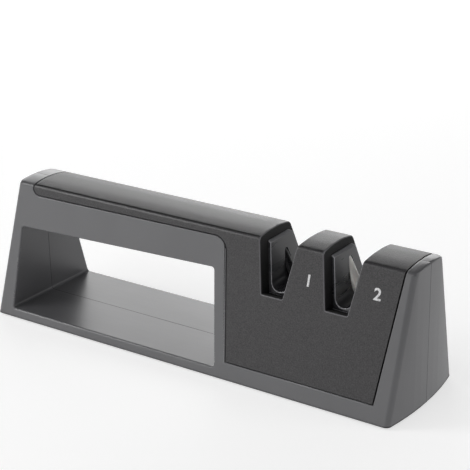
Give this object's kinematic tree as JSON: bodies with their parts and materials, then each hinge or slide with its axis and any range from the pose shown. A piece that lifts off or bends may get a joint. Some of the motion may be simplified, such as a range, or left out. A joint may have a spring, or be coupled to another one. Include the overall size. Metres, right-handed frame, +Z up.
{
  "type": "pull-through knife sharpener",
  "caption": "Bench-top knife sharpener: grey window-handle body, dark grained cover, and V slots with crossed coarse and fine rods behind smooth guides.",
  "frame": {"origin": "centre of the footprint, on the surface that the feet stand on", "axes": "+X along the body from the handle to the slots, -Y the front face, +Z up"},
  "size_m": [0.2064, 0.0564, 0.0612],
  "materials": {
    "frame_plastic": "satin mid-grey moulded plastic",
    "cover_plastic": "charcoal plastic with a fine spark-eroded grain",
    "guide_plastic": "smooth dark plastic",
    "coarse_abrasive": "dark abrasive-coated rod",
    "fine_ceramic": "white fired ceramic with a fine grain",
    "inner_plastic": "plain light grey plastic inside the body",
    "plate_plastic": "plain dark grey plastic",
    "screw_steel": "zinc-plated steel",
    "foot_rubber": "soft matte rubber"
  },
  "bodies": {
    "root": {"front_frame": "frame_plastic", "rear_frame": "frame_plastic", "top_cover": "cover_plastic", "coarse_guide": "guide_plastic", "fine_guide": "guide_plastic", "coarse_rod_front": "coarse_abrasive", "coarse_rod_rear": "coarse_abrasive", "fine_rod_front": "fine_ceramic", "fine_rod_rear": "fine_ceramic", "coarse_cradle": "inner_plastic", "fine_cradle": "inner_plastic", "coarse_keeper": "inner_plastic", "fine_keeper": "inner_plastic", "keeper_screws": "screw_steel", "base_plate": "plate_plastic", "frame_screws": "screw_steel", "cover_screws": "screw_steel", "foot_front_left": "foot_rubber", "foot_front_right": "foot_rubber", "foot_rear_left": "foot_rubber", "foot_rear_right": "foot_rubber"}
  },
  "joints": []
}
